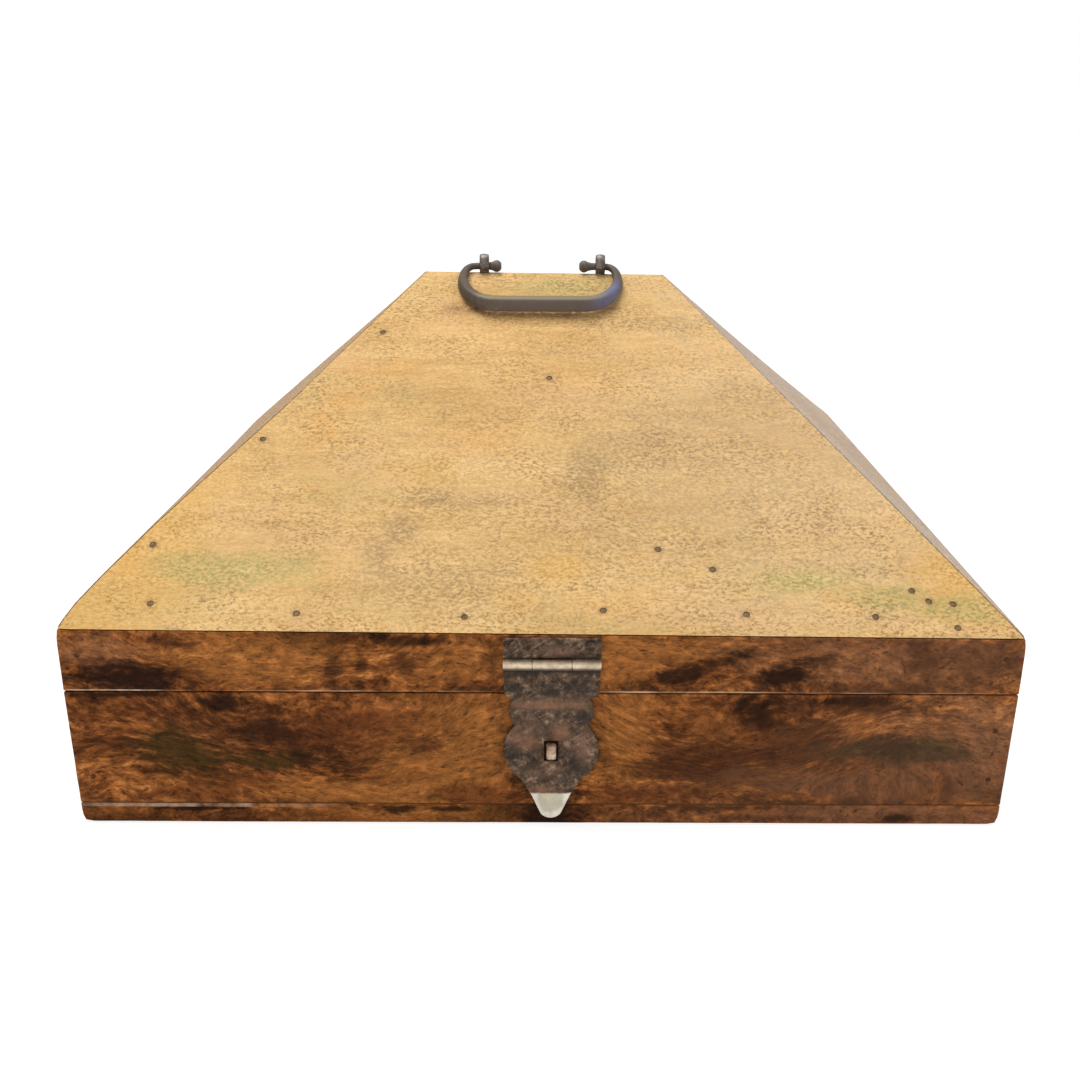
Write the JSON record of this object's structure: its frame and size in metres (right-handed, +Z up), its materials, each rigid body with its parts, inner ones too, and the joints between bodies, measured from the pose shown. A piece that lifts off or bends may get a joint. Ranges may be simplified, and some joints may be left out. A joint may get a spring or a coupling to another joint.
{
  "type": "dowry chest",
  "caption": "Low wooden dowry chest with a hinged hip-roof lid, a forged bail handle on the ridge and a scalloped hasp that closes over a staple.",
  "frame": {"origin": "middle of the underside of the base board, on the surface that the chest stands on", "axes": "+X to the right along the front, +Y from the front with the hasp to the back with the hinges, +Z up"},
  "size_m": [0.46, 0.4378, 0.2549],
  "materials": {
    "base_wood": "dark brown stained wood with worn edges",
    "box_wood": "dark brown figured wood, waxed",
    "rail_wood": "dark brown figured wood, waxed",
    "roof_wood": "pale golden open-pored wood with green and grey stains",
    "batten_wood": "bare sawn wood",
    "bail_iron": "dark forged iron, rubbed on the edges",
    "eye_iron": "grey-brown iron",
    "hasp_bronze": "dark patinated brass with coppery patches and a bare tip",
    "worn_brass": "pale worn brass",
    "nail_iron": "dull dark iron"
  },
  "bodies": {
    "box": {"base_board": "base_wood", "box_front_board": "box_wood", "box_back_board": "box_wood", "box_left_board": "box_wood", "box_right_board": "box_wood", "box_nail_front_left_lower": "nail_iron", "box_nail_front_left_upper": "nail_iron", "box_nail_front_right_lower": "nail_iron", "box_nail_front_right_upper": "nail_iron", "box_nail_back_left_lower": "nail_iron", "box_nail_back_left_upper": "nail_iron", "box_nail_back_right_lower": "nail_iron", "box_nail_back_right_upper": "nail_iron", "hasp_staple": "worn_brass", "hinge_left_lower_leaf": "hasp_bronze", "hinge_left_lower_nail_left": "nail_iron", "hinge_left_lower_nail_right": "nail_iron", "hinge_left_pin": "worn_brass", "hinge_right_lower_leaf": "hasp_bronze", "hinge_right_lower_nail_left": "nail_iron", "hinge_right_lower_nail_right": "nail_iron", "hinge_right_pin": "worn_brass"},
    "lid": {"lid_front_rail": "rail_wood", "lid_back_rail": "rail_wood", "lid_left_rail": "rail_wood", "lid_right_rail": "rail_wood", "lid_nail_front_left": "nail_iron", "lid_nail_front_right": "nail_iron", "lid_nail_back_left": "nail_iron", "lid_nail_back_right": "nail_iron", "roof_front_panel": "roof_wood", "roof_back_panel": "roof_wood", "roof_left_panel": "roof_wood", "roof_right_panel": "roof_wood", "ridge_batten": "batten_wood", "handle_eye_left": "eye_iron", "handle_eye_right": "eye_iron", "hasp_plate": "hasp_bronze", "hasp_nail_left": "nail_iron", "hasp_nail_right": "nail_iron", "hasp_pin": "worn_brass", "hinge_left_upper_leaf": "hasp_bronze", "hinge_left_upper_nail_left": "nail_iron", "hinge_left_upper_nail_right": "nail_iron", "hinge_right_upper_leaf": "hasp_bronze", "hinge_right_upper_nail_left": "nail_iron", "hinge_right_upper_nail_right": "nail_iron"},
    "hasp": {"hasp_leaf": "hasp_bronze"},
    "handle": {"handle_bail": "bail_iron"}
  },
  "joints": [
    {"name": "lid_hinge", "type": "hinge", "parent": "box", "child": "lid", "pos_m": [0, 0.215, 0.0726], "axis": [-1, 0, 0], "range_deg": [0, 150]},
    {"name": "hasp_hinge", "type": "hinge", "parent": "lid", "child": "hasp", "pos_m": [0.0046, -0.215, 0.089], "axis": [-1, 0, 0], "range_deg": [0, 180]},
    {"name": "handle_swing", "type": "hinge", "parent": "lid", "child": "handle", "pos_m": [0, 0, 0.24765], "axis": [-1, 0, 0], "range_deg": [0, 235]}
  ]
}
